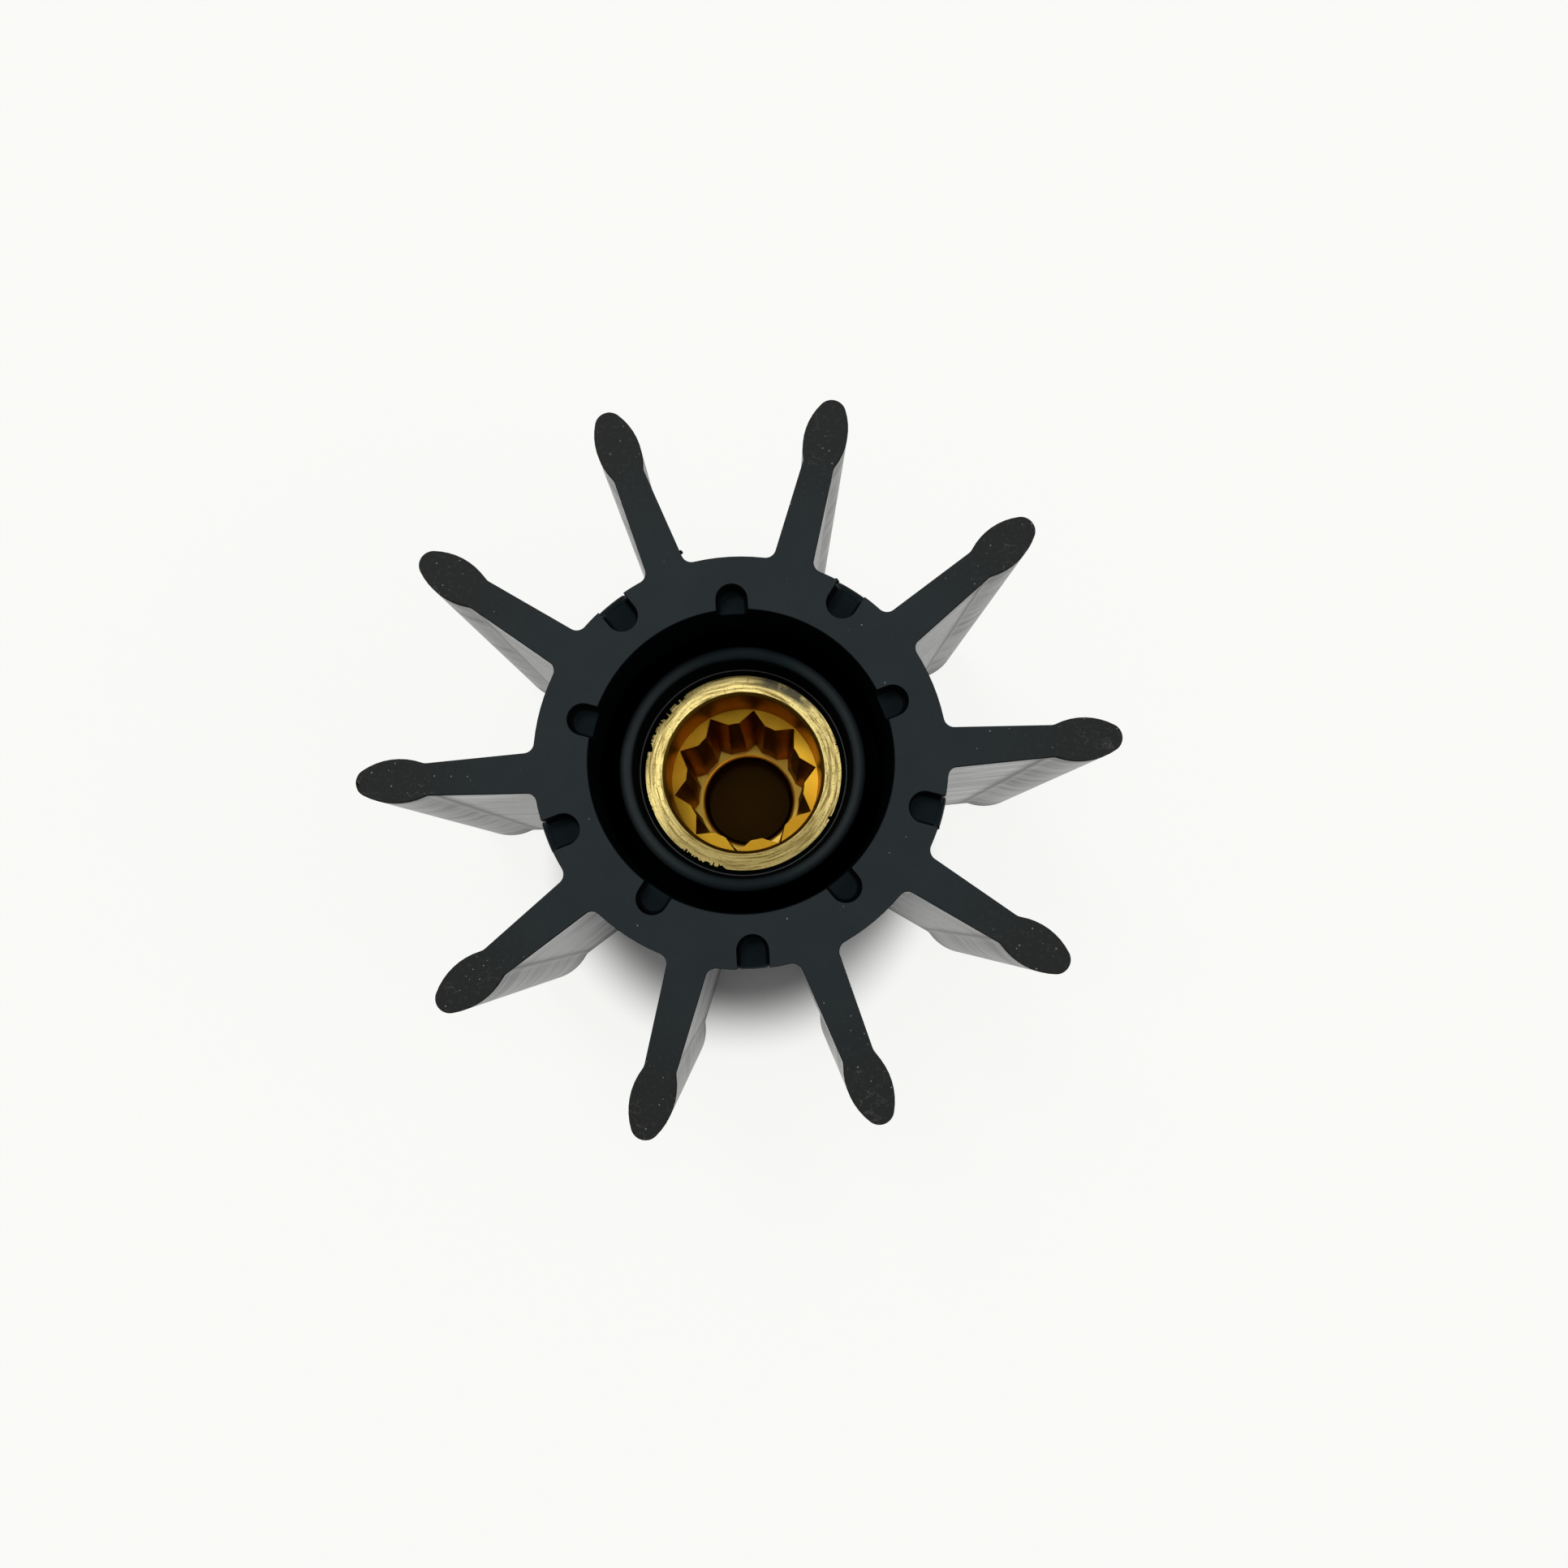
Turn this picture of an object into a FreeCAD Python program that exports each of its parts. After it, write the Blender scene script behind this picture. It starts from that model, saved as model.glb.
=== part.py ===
"""Flexible pump impeller: a moulded rubber hub with bulb-tipped vanes on a brass insert with an internal spline.

Frame: the origin is at the centre of the lower end face, +Z runs up along the axis of rotation,
and the end with the deep recess and the notches faces up.
Lengths are in millimetres and angles in degrees. A depth is measured down from the upper end face,
and a radius from the axis.
"""
import FreeCAD, Part
import math
import os
import Sketcher

SIZES = {
    # Rubber hub
    "body_width": 50.0,
    "hub_radius": 17.6,
    "hub_wall": 4.65,
    "base_recess_depth": 3.0,
    # Ridge of rubber round the insert's upper end, and the trench between it and the hub wall
    "collar_wall": 2.0,
    "collar_crest_width": 1.2,
    "collar_rise": 4.1,
    "crest_chamfer": 0.45,
    "seat_step": 0.4,
    "seat_drop": 0.2,
    "trench_drop": 4.5,
    "trench_chamfer": 0.6,
    # Vanes, in pairs because the notches between them alternate
    "vane_pairs": 5,
    "vane_phase": 3.6,
    "tip_radius": 32.5,
    "nose_rounding": 1.25,
    "bulb_thickness": 3.74,
    "bulb_side_radius": 5.5,
    "bulb_length": 6.5,
    "neck_thickness": 2.78,
    "neck_rounding": 1.0,
    "root_sink": 2.0,
    "root_thickness": 3.62,
    "root_rounding": 0.9,
    # Notches in the upper end face, half way between the vanes
    "notch_half_width": 1.35,
    "notch_depth": 2.0,
    "notch_floor_rounding": 0.6,
    "notch_overrun": 1.0,
    "inner_notch_length": 2.25,
    "outer_notch_length": 2.9,
    # Brass insert
    "insert_radius": 9.1,
    "insert_depth": 10.5,
    "insert_wall": 1.85,
    "mouth_chamfer": 0.3,
    "counterbore_length": 8.5,
    "groove_count": 10,
    "groove_phase": 11.3,
    "groove_inset": 0.12,
    "groove_height": 1.28,
    "groove_angle": 84.0,
    "groove_draft": 0.6,
    "ledge_width": 1.05,
    "ledge_thickness": 4.0,
    "bore_chamfer": 0.7,
}

# Sums of sizes that more than one outline uses
RECESS_RADIUS = "hub_radius - hub_wall"
COLLAR_RADIUS = "insert_radius + collar_wall"
INSERT_FACE = "body_width - insert_depth"
CREST_LEVEL = INSERT_FACE + " + collar_rise"
SEAT_LEVEL = INSERT_FACE + " - seat_drop"
TRENCH_FLOOR = INSERT_FACE + " - trench_drop"
NOTCH_FLOOR = "body_width - notch_depth"
COUNTERBORE_RADIUS = "insert_radius - insert_wall"
COUNTERBORE_FLOOR = INSERT_FACE + " - counterbore_length"
GROOVE_RADIUS = COUNTERBORE_RADIUS + " - groove_inset"
CREST_RADIUS = GROOVE_RADIUS + " - groove_height"
BORE_RADIUS = CREST_RADIUS + " - ledge_width"
LEDGE_LEVEL = "base_recess_depth + ledge_thickness"

# Largest share of a wall that one chamfer may take, where a second one faces it and where none does
SHARED_WALL = 0.45
WHOLE_WALL = 0.9

UP = FreeCAD.Vector(0, 0, 1)
TOLERANCE = 1e-4

doc = FreeCAD.newDocument("pump_impeller")


def make_sheet():
    """The spreadsheet of driving sizes, one aliased cell to a size."""
    table = doc.addObject("Spreadsheet::Sheet", "sizes")
    for row, (name, value) in enumerate(SIZES.items(), start=1):
        table.set("A%d" % row, name)
        table.set("B%d" % row, str(value))
        table.setAlias("B%d" % row, name)
    doc.recompute()
    return table


def value_of(formula):
    """The number that a sum or difference of sizes stands for, such as hub_radius - hub_wall."""
    total, sign = 0.0, 1.0
    for word in formula.split():
        if word in ("+", "-"):
            sign = 1.0 if word == "+" else -1.0
        else:
            total += sign * (float(word) if word.isdigit() else getattr(sheet, word))
    return total


def linked(formula):
    """The same sum or difference with each size read from its cell."""
    return " ".join(word if word in "+-" or word.isdigit() else "sizes." + word for word in formula.split())


def origin_feature(body, role):
    """One of the body's own origin planes or axes."""
    return next(item for item in body.Origin.OriginFeatures if item.Role == role)


def new_body(label):
    """An empty sub-part, whose label also names its file."""
    body = doc.addObject("PartDesign::Body", label)
    body.Label = label
    return body


def new_sketch(body, name, plane, level="0", turn="0"):
    """A sketch on an origin plane, lifted to a level and turned about the axis as the formulas say."""
    sketch = body.newObject("Sketcher::SketchObject", name)
    sketch.AttachmentSupport = (origin_feature(body, plane), [""])
    sketch.MapMode = "FlatFace"
    sketch.AttachmentOffset = FreeCAD.Placement(FreeCAD.Vector(0, 0, value_of(level)), FreeCAD.Rotation(UP, 1.0))
    sketch.setExpression("AttachmentOffset.Base.z", linked(level))
    sketch.setExpression("AttachmentOffset.Rotation.Angle", turn)
    sketch.Visibility = False
    return sketch


def tie(sketch, constraint, formula):
    """Adds a dimension to the sketch and binds it to the cells."""
    index = sketch.addConstraint(constraint)
    sketch.setExpression("Constraints[%d]" % index, formula)


def place_point(sketch, item, end, point, across, up):
    """Ties one point of an item to its distances from the sketch's origin."""
    tie(sketch, Sketcher.Constraint("DistanceX", -1, 1, item, end, point.x), across)
    tie(sketch, Sketcher.Constraint("DistanceY", -1, 1, item, end, point.y), up)


def join_ends(sketch, first, first_end, second, second_end):
    """Makes the ends of two items one point."""
    sketch.addConstraint(Sketcher.Constraint("Coincident", first, first_end, second, second_end))


def touch_smoothly(sketch, first, first_end, second, second_end):
    """Makes the ends of two items one point, with no corner there."""
    sketch.addConstraint(Sketcher.Constraint("Tangent", first, first_end, second, second_end))


def add_line(sketch, start, finish):
    """A straight side of an outline."""
    return sketch.addGeometry(Part.LineSegment(start, finish), False)


def add_arc(sketch, centre, start, finish, turn):
    """An arc from start to finish, anticlockwise where turn is positive, and the numbers of those two ends."""
    first, last = (start, finish) if turn > 0 else (finish, start)
    angles = [math.atan2(point.y - centre.y, point.x - centre.x) for point in (first, last)]
    circle = Part.Circle(centre, UP, (start - centre).Length)
    item = sketch.addGeometry(Part.ArcOfCircle(circle, angles[0], angles[1]), False)
    return (item, 1, 2) if turn > 0 else (item, 2, 1)


def draw_polygon(sketch, corners):
    """A closed outline of straight lines. Each corner is a point and the formulas of its two distances."""
    points = [point for point, _, _ in corners]
    lines = [add_line(sketch, point, following) for point, following in zip(points, points[1:] + points[:1])]
    for line, following in zip(lines, lines[1:] + lines[:1]):
        join_ends(sketch, line, 2, following, 1)
    for line, (point, across, up) in zip(lines, corners):
        place_point(sketch, line, 1, point, across, up)


def feature(body, kind, name):
    """A new feature at the tip of the body."""
    item = body.newObject("PartDesign::" + kind, name)
    body.Tip = item
    return item


def revolve_profile(body, name, corners):
    """A solid of revolution round the axis, from corners given by their radius and level."""
    sketch = new_sketch(body, name + "_profile", "XZ_Plane")
    draw_polygon(sketch, [
        (FreeCAD.Vector(value_of(radius), value_of(level), 0), linked(radius), linked(level))
        for radius, level in corners])
    turned = feature(body, "Revolution", name)
    turned.Profile = sketch
    turned.ReferenceAxis = (sketch, ["V_Axis"])
    turned.Angle = 360
    doc.recompute()
    return turned


def repeat_round_axis(body, original, name, count):
    """Copies of a feature, evenly spaced round the axis."""
    pattern = feature(body, "PolarPattern", name)
    pattern.Originals = [original]
    pattern.Axis = (origin_feature(body, "Z_Axis"), [""])
    pattern.Angle = 360
    pattern.setExpression("Occurrences", count)
    doc.recompute()
    return pattern


def dress_edges(body, base, kind, name, wanted, size, formula):
    """A fillet or chamfer on the edges of the feature before it that pass the test."""
    names = ["Edge%d" % number for number, edge in enumerate(base.Shape.Edges, start=1) if wanted(edge)]
    if not names:
        raise RuntimeError("%s finds no edge" % name)
    dressed = feature(body, kind, name)
    dressed.Base = (base, names)
    dressed.setExpression(size, formula)
    doc.recompute()
    return dressed


def chamfer_within(chamfer, share, wall):
    """Formula for a chamfer that a thin wall limits."""
    return "min(sizes.%s; %g * (%s))" % (chamfer, share, linked(wall))


def is_ring(edge, radius, level):
    """True for a full circle of this radius round the axis at this height."""
    curve = edge.Curve
    return (isinstance(curve, Part.Circle) and abs(curve.Radius - radius) < TOLERANCE
            and abs(curve.Center.z - level) < TOLERANCE and math.hypot(curve.Center.x, curve.Center.y) < TOLERANCE)


def is_upright(edge, radius):
    """True for a straight edge parallel to the axis at this distance from it."""
    start, finish = edge.Vertexes[0].Point, edge.Vertexes[-1].Point
    return (isinstance(edge.Curve, Part.Line) and math.hypot(start.x - finish.x, start.y - finish.y) < TOLERANCE
            and abs(math.hypot(start.x, start.y) - radius) < TOLERANCE)


def is_notch_floor_side(edge):
    """True for a straight or round side of a notch's floor, but not for its open end."""
    if any(abs(vertex.Z - value_of(NOTCH_FLOOR)) > TOLERANCE for vertex in edge.Vertexes):
        return False
    curve = edge.Curve
    return isinstance(curve, Part.Line) or abs(curve.Radius - sheet.notch_half_width) < TOLERANCE


def check_volume(before, after, grows):
    """Stops where a feature points away from the solid and so changes nothing."""
    change = after.Shape.Volume - before.Shape.Volume
    if (change > 0) != grows or abs(change) < TOLERANCE:
        raise RuntimeError("%s changed the volume by %.3f" % (after.Name, change))


def neck_points(root, neck, side_centre):
    """Centre of the hollow round between the vane's flank and its bulb, and the points where it meets them."""
    rounding, side = sheet.neck_rounding, sheet.bulb_side_radius
    along = (neck - root).normalize()
    outward = FreeCAD.Vector(-along.y, along.x, 0)
    reach = root + outward * rounding - side_centre
    half = reach.dot(along)
    run = -half - math.sqrt(half * half - reach.dot(reach) + (side + rounding) ** 2)
    centre = root + outward * rounding + along * run
    return centre, centre - outward * rounding, side_centre + (centre - side_centre) * (side / (side + rounding))


def draw_vane(sketch):
    """Outline of the vane that points along X: a tapered web that swells into a bulb with a round nose."""
    side_radius, nose_radius = sheet.bulb_side_radius, sheet.nose_rounding
    nose_centre = FreeCAD.Vector(sheet.tip_radius - nose_radius, 0, 0)
    drop = side_radius - sheet.bulb_thickness / 2
    lean = math.sqrt((side_radius - nose_radius) ** 2 - drop ** 2)
    side_centre = FreeCAD.Vector(nose_centre.x - lean, -drop, 0)
    nose_end = side_centre + (nose_centre - side_centre) * (side_radius / (side_radius - nose_radius))
    root = FreeCAD.Vector(sheet.hub_radius - sheet.root_sink, sheet.root_thickness / 2, 0)
    neck = FreeCAD.Vector(sheet.tip_radius - sheet.bulb_length, sheet.neck_thickness / 2, 0)
    neck_centre, flank_end, bulb_start = neck_points(root, neck, side_centre)

    def across_axis(point):
        return FreeCAD.Vector(point.x, -point.y, 0)

    nose, upper_end, lower_end = add_arc(sketch, nose_centre, nose_end, across_axis(nose_end), -1)
    place_point(sketch, nose, 3, nose_centre, "sizes.tip_radius - sizes.nose_rounding", "0")
    tie(sketch, Sketcher.Constraint("Radius", nose, nose_radius), "sizes.nose_rounding")
    flanks = []
    for turn, sign, nose_side in ((1, "", upper_end), (-1, "-", lower_end)):
        points = (root, flank_end, bulb_start, nose_end, neck_centre, side_centre, neck)
        if turn < 0:
            points = [across_axis(point) for point in points]
        foot, hollow_start, swell_start, swell_end, hollow_centre, swell_centre, station = points
        flank = add_line(sketch, foot, hollow_start)
        hollow, hollow_first, hollow_last = add_arc(sketch, hollow_centre, hollow_start, swell_start, turn)
        swell, swell_first, swell_last = add_arc(sketch, swell_centre, swell_start, swell_end, -turn)
        touch_smoothly(sketch, flank, 2, hollow, hollow_first)
        touch_smoothly(sketch, hollow, hollow_last, swell, swell_first)
        touch_smoothly(sketch, swell, swell_last, nose, nose_side)
        tie(sketch, Sketcher.Constraint("Radius", hollow, sheet.neck_rounding), "sizes.neck_rounding")
        tie(sketch, Sketcher.Constraint("Radius", swell, side_radius), "sizes.bulb_side_radius")
        tie(sketch, Sketcher.Constraint("DistanceY", -1, 1, swell, 3, swell_centre.y),
            sign + "(sizes.bulb_thickness / 2 - sizes.bulb_side_radius)")
        place_point(sketch, flank, 1, foot, "sizes.hub_radius - sizes.root_sink", sign + "sizes.root_thickness / 2")
        mark = sketch.addGeometry(Part.Point(station), True)
        place_point(sketch, mark, 1, station, "sizes.tip_radius - sizes.bulb_length",
                    sign + "sizes.neck_thickness / 2")
        sketch.addConstraint(Sketcher.Constraint("PointOnObject", mark, 1, flank))
        flanks.append(flank)
    closing = add_line(sketch, across_axis(root), root)
    join_ends(sketch, closing, 1, flanks[1], 1)
    join_ends(sketch, closing, 2, flanks[0], 1)


def draw_notch(sketch, centre, end, way):
    """A U along X, round about its centre and open at its end, which lies outwards where way is positive."""
    half = sheet.notch_half_width
    middle = FreeCAD.Vector(value_of(centre), 0, 0)
    mouth = FreeCAD.Vector(value_of(end), 0, 0)
    offset = FreeCAD.Vector(0, way * half, 0)
    bend, first, last = add_arc(sketch, middle, middle + offset, middle - offset, 1)
    place_point(sketch, bend, 3, middle, linked(centre), "0")
    tie(sketch, Sketcher.Constraint("Radius", bend, half), "sizes.notch_half_width")
    going = add_line(sketch, middle + offset, mouth + offset)
    closing = add_line(sketch, mouth + offset, mouth - offset)
    coming = add_line(sketch, mouth - offset, middle - offset)
    touch_smoothly(sketch, going, 1, bend, first)
    touch_smoothly(sketch, coming, 2, bend, last)
    join_ends(sketch, going, 2, closing, 1)
    join_ends(sketch, closing, 2, coming, 1)
    for side in (going, coming):
        sketch.addConstraint(Sketcher.Constraint("Horizontal", side))
    for corner in (1, 2):
        tie(sketch, Sketcher.Constraint("DistanceX", -1, 1, closing, corner, mouth.x), linked(end))


def cut_notches(body, base, name, half_pitches, centre, end, way):
    """A ring of notches in the upper end face, one in every second gap between vanes."""
    turn = "%d * 90 / sizes.vane_pairs" % half_pitches
    sketch = new_sketch(body, name + "_outline", "XY_Plane", "body_width", turn)
    draw_notch(sketch, centre, end, way)
    notch = feature(body, "Pocket", name)
    notch.Profile = sketch
    notch.setExpression("Length", "sizes.notch_depth")
    doc.recompute()
    check_volume(base, notch, grows=False)
    return repeat_round_axis(body, notch, name + "s", "sizes.vane_pairs")


def make_rubber_body():
    """Hub, collar and vanes, moulded in one."""
    body = new_body("rubber_body")
    hub = revolve_profile(body, "hub", [
        ("insert_radius", "base_recess_depth"),
        (RECESS_RADIUS, "base_recess_depth"),
        (RECESS_RADIUS, "0"),
        ("hub_radius", "0"),
        ("hub_radius", "body_width"),
        (RECESS_RADIUS, "body_width"),
        (RECESS_RADIUS, TRENCH_FLOOR),
        (COLLAR_RADIUS, TRENCH_FLOOR),
        (COLLAR_RADIUS, CREST_LEVEL),
        (COLLAR_RADIUS + " - collar_crest_width", CREST_LEVEL),
        ("insert_radius + seat_step", SEAT_LEVEL),
        ("insert_radius", SEAT_LEVEL),
    ])
    crest, floor = value_of(CREST_LEVEL), value_of(TRENCH_FLOOR)
    outside, inside = value_of(COLLAR_RADIUS), value_of(COLLAR_RADIUS + " - collar_crest_width")
    crested = dress_edges(
        body, hub, "Chamfer", "collar_crest",
        lambda edge: is_ring(edge, outside, crest) or is_ring(edge, inside, crest),
        "Size", chamfer_within("crest_chamfer", SHARED_WALL, "collar_crest_width"))
    trenched = dress_edges(
        body, crested, "Chamfer", "trench_floor",
        lambda edge: is_ring(edge, outside, floor) or is_ring(edge, value_of(RECESS_RADIUS), floor),
        "Size", chamfer_within("trench_chamfer", SHARED_WALL, RECESS_RADIUS + " - insert_radius - collar_wall"))

    outline = new_sketch(body, "vane_outline", "XY_Plane")
    draw_vane(outline)
    vane = feature(body, "Pad", "vane")
    vane.Profile = outline
    vane.setExpression("Length", "sizes.body_width")
    doc.recompute()
    check_volume(trenched, vane, grows=True)
    vanes = repeat_round_axis(body, vane, "vanes", "2 * sizes.vane_pairs")
    rooted = dress_edges(
        body, vanes, "Fillet", "vane_roots", lambda edge: is_upright(edge, sheet.hub_radius),
        "Radius", "sizes.root_rounding")

    inner = cut_notches(body, rooted, "inner_notch", 1, RECESS_RADIUS + " + inner_notch_length - notch_half_width",
                        RECESS_RADIUS + " - notch_overrun", -1)
    outer = cut_notches(body, inner, "outer_notch", 3, "hub_radius - outer_notch_length + notch_half_width",
                        "hub_radius + notch_overrun", 1)
    dress_edges(body, outer, "Fillet", "notch_floors", is_notch_floor_side, "Radius", "sizes.notch_floor_rounding")
    return body


def make_splined_insert():
    """Turned brass sleeve with a counterbore, a ring of V grooves below it, and a ledge with a smaller bore."""
    body = new_body("splined_insert")
    sleeve = revolve_profile(body, "sleeve", [
        (BORE_RADIUS, "base_recess_depth"),
        ("insert_radius", "base_recess_depth"),
        ("insert_radius", INSERT_FACE),
        (COUNTERBORE_RADIUS, INSERT_FACE),
        (COUNTERBORE_RADIUS, COUNTERBORE_FLOOR),
        (CREST_RADIUS, COUNTERBORE_FLOOR),
        (CREST_RADIUS, LEDGE_LEVEL),
        (BORE_RADIUS, LEDGE_LEVEL),
    ])
    mouthed = dress_edges(
        body, sleeve, "Chamfer", "mouth",
        lambda edge: is_ring(edge, value_of(COUNTERBORE_RADIUS), value_of(INSERT_FACE)),
        "Size", "sizes.mouth_chamfer")
    eased = dress_edges(
        body, mouthed, "Chamfer", "bore_mouth",
        lambda edge: is_ring(edge, value_of(BORE_RADIUS), value_of(LEDGE_LEVEL)),
        "Size", chamfer_within("bore_chamfer", WHOLE_WALL, "ledge_width"))

    outline = new_sketch(body, "groove_outline", "XY_Plane", COUNTERBORE_FLOOR)
    tip, foot = value_of(GROOVE_RADIUS), value_of(BORE_RADIUS)
    half = (tip - foot) * math.tan(math.radians(sheet.groove_angle / 2))
    spread = "(sizes.groove_height + sizes.ledge_width) * tan(sizes.groove_angle / 2 * 1 deg)"
    draw_polygon(outline, [
        (FreeCAD.Vector(tip, 0, 0), linked(GROOVE_RADIUS), "0"),
        (FreeCAD.Vector(foot, half, 0), linked(BORE_RADIUS), spread),
        (FreeCAD.Vector(foot, -half, 0), linked(BORE_RADIUS), "-" + spread),
    ])
    groove = feature(body, "Pocket", "groove")
    groove.Profile = outline
    groove.setExpression("Length", linked(COUNTERBORE_FLOOR + " - base_recess_depth - ledge_thickness"))
    groove.setExpression("TaperAngle", "-sizes.groove_draft")
    doc.recompute()
    check_volume(eased, groove, grows=False)
    repeat_round_axis(body, groove, "grooves", "sizes.groove_count")
    return body


def turn_body(body, phase):
    """Turns a finished sub-part about the axis to where it stands."""
    body.Placement = FreeCAD.Placement(FreeCAD.Vector(0, 0, 0), FreeCAD.Rotation(UP, 1.0))
    body.setExpression("Placement.Rotation.Angle", phase)


def check_document(bodies):
    """Stops before anything is written if an object failed or a sub-part isn't one sound solid."""
    for item in doc.Objects:
        if "Invalid" in item.State or "Error" in item.State:
            raise RuntimeError("%s is in state %s" % (item.Name, item.State))
    for body in bodies:
        shape = body.Shape
        if shape.isNull() or not shape.isValid() or len(shape.Solids) != 1:
            raise RuntimeError("%s isn't one valid solid" % body.Label)
        print("%s: %.1f mm3, %d faces" % (body.Label, shape.Volume, len(shape.Faces)))


sheet = make_sheet()
rubber_body = make_rubber_body()
splined_insert = make_splined_insert()
turn_body(rubber_body, "sizes.vane_phase")
turn_body(splined_insert, "sizes.groove_phase")
doc.recompute()
check_document([rubber_body, splined_insert])
os.makedirs("parts", exist_ok=True)
for sub_part in (rubber_body, splined_insert):
    sub_part.Shape.exportStep("parts/%s.step" % sub_part.Label)
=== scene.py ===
"""Looks of the flexible pump impeller: black moulded rubber round a turned brass insert, on a white floor.

Everything is in metres, in the frame of the solids: the axis of rotation is Z, and the floor is at Z = 0.
"""
import math

import bmesh
import bpy
import numpy as np
from mathutils import Matrix, Vector


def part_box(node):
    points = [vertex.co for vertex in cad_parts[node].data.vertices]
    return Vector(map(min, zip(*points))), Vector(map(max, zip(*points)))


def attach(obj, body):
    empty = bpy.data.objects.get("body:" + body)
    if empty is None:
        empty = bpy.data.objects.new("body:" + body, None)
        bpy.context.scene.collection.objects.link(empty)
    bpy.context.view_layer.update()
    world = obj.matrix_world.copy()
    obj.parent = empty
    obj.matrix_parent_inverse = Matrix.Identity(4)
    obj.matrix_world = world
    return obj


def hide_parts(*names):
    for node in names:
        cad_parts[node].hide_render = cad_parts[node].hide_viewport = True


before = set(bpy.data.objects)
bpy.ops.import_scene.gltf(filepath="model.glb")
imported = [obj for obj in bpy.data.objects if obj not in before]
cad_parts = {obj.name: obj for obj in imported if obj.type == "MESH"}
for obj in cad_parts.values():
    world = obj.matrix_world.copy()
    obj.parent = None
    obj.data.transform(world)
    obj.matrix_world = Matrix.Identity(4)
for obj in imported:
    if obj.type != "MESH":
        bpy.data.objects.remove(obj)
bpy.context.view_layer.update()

MM = 0.001
_, RUBBER_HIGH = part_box("rubber_body")
_, INSERT_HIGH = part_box("splined_insert")
TOP = RUBBER_HIGH.z
INSERT_FACE = INSERT_HIGH.z
INSERT_RADIUS = INSERT_HIGH.x

# Sizes that part.py also has, which no box gives, and angles in degrees
HUB_RADIUS = 17.6 * MM
RECESS_RADIUS = 12.95 * MM
COLLAR_RADIUS = INSERT_RADIUS + 2.0 * MM
CREST_LEVEL = INSERT_FACE + 4.1 * MM
NECK_RADIUS = 25.8 * MM
BORE_RADIUS = 4.8 * MM
LEDGE_LEVEL = 7.0 * MM
NOTCH_FLOOR = TOP - 2.0 * MM
NOTCH_HALF_WIDTH = 1.35 * MM
VANE_PHASE = 3.6
OUTER_NOTCH_STEP = 72.0
FIRST_OUTER_NOTCH = VANE_PHASE + 54.0

# Small forms that only the scene has
RUBBER_ROUNDING = 0.07 * MM
BRASS_ROUNDING = 0.045 * MM
CREST_HALF_WIDTH = 0.61 * MM
CREST_HALF_HEIGHT = 0.65 * MM
CREST_MIDDLE = CREST_LEVEL - 0.60 * MM
LIP_RADIUS = INSERT_RADIUS + 0.43 * MM
LIP_MIDDLE = INSERT_FACE + 0.30 * MM
LIP_HALF_WIDTH = 0.07 * MM
LIP_HALF_HEIGHT = 0.15 * MM
BORE_MOUTH_SIZE = 0.8 * MM
MOUTH_LIP_REACHES = [0.42 * MM, 0.42 * MM, 0.34 * MM, 0.12 * MM, 0.34 * MM]

# Patches of film on the rim of the brass face: middle and half width in degrees, reach in millimetres
FILM_PATCHES = [
    (132, 5, 0.34), (143, 6, 0.42), (157, 8, 0.24), (168, 4, 0.40), (17.5, 1.0, 0.24),
    (-28, 1.3, 0.26), (-116, 14, 0.20), (-106, 5, 0.22), (-128, 4, 0.16), (200, 9, 0.08)]

# Waves of the film's ragged edge, each by its count round the axis
FILM_WAVES = [19, 31, 47, 67, 97, 139, 199]

# The photograph's camera: 1932 pixels across a 36 mm sensor, focal length 1600 pixels
SENSOR_WIDTH = 36.0
FOCAL_LENGTH = SENSOR_WIDTH * 1600 / 1932
CAMERA_PLACE = Vector((2.41, -12.29, 159.2)) * MM
CAMERA_PITCH = math.radians(-5.36)
CAMERA_ROLL = math.radians(0.64)

# What the lamps light, the direction in which the photographer stood, and the white that the camera sees
MIDDLE_OF_PART = Vector((0, 0, 25.0)) * MM
BORE_LAMP_REACH = 6.3 * MM
PHOTOGRAPHER = Vector((0.12, -0.44, 0.89)).normalized()
PAPER_WHITE = (0.96, 0.96, 0.94, 1)

# The floor's fade to white, by the distance from a place below the hub
FADE_MIDDLE = Vector((-1.0, -6.0, 0.0)) * MM
FADE_START = 16.0 * MM
FADE_END = 25.0 * MM
FLOOR_HALF_WIDTH = 2.0

# Colours of the rubber, from the recess to the dust
# The first black is painted shade, for the recess, the upper edges and the notches
PAINTED_SHADE_BLACK = (0.0014, 0.0020, 0.0024, 1)
COOL_BLACK = (0.0048, 0.0094, 0.0112, 1)
COOL_GREY = (0.0112, 0.0176, 0.0198, 1)
TIP_GREY = (0.0080, 0.0094, 0.0086, 1)
HAZE_GREY = (0.050, 0.050, 0.046, 1)
WISP_GREY = (0.085, 0.088, 0.080, 1)
DUST_GREY = (0.19, 0.195, 0.18, 1)

# Colours of the brass, first those of the turned face and then those inside
RIDGE_BRASS = (0.78, 0.64, 0.25, 1)
FURROW_BRASS = (0.19, 0.13, 0.034, 1)
PIT_BRASS = (0.12, 0.08, 0.02, 1)
# Painted shade for the turned face's -Y side
PAINTED_SHADE_BRASS = (0.16, 0.12, 0.035, 1)
TARNISH = (0.040, 0.040, 0.030, 1)
FACE_GLANCE = (1.0, 0.95, 0.8, 1)
DARK_GOLD = (0.54, 0.31, 0.021, 1)
LIGHT_GOLD = (0.76, 0.47, 0.042, 1)
# Painted shade inside, on the -Y side
PAINTED_SHADE_GOLD = (0.22, 0.12, 0.006, 1)
# Painted shade down the grooves
GROOVE_SHADE_GOLD = (0.19, 0.10, 0.008, 1)
# Painted light on the ledge
PAINTED_LIGHT_GOLD = (1.0, 0.72, 0.13, 1)
GOLD_GLANCE = (0.62, 0.34, 0.03, 1)
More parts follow.
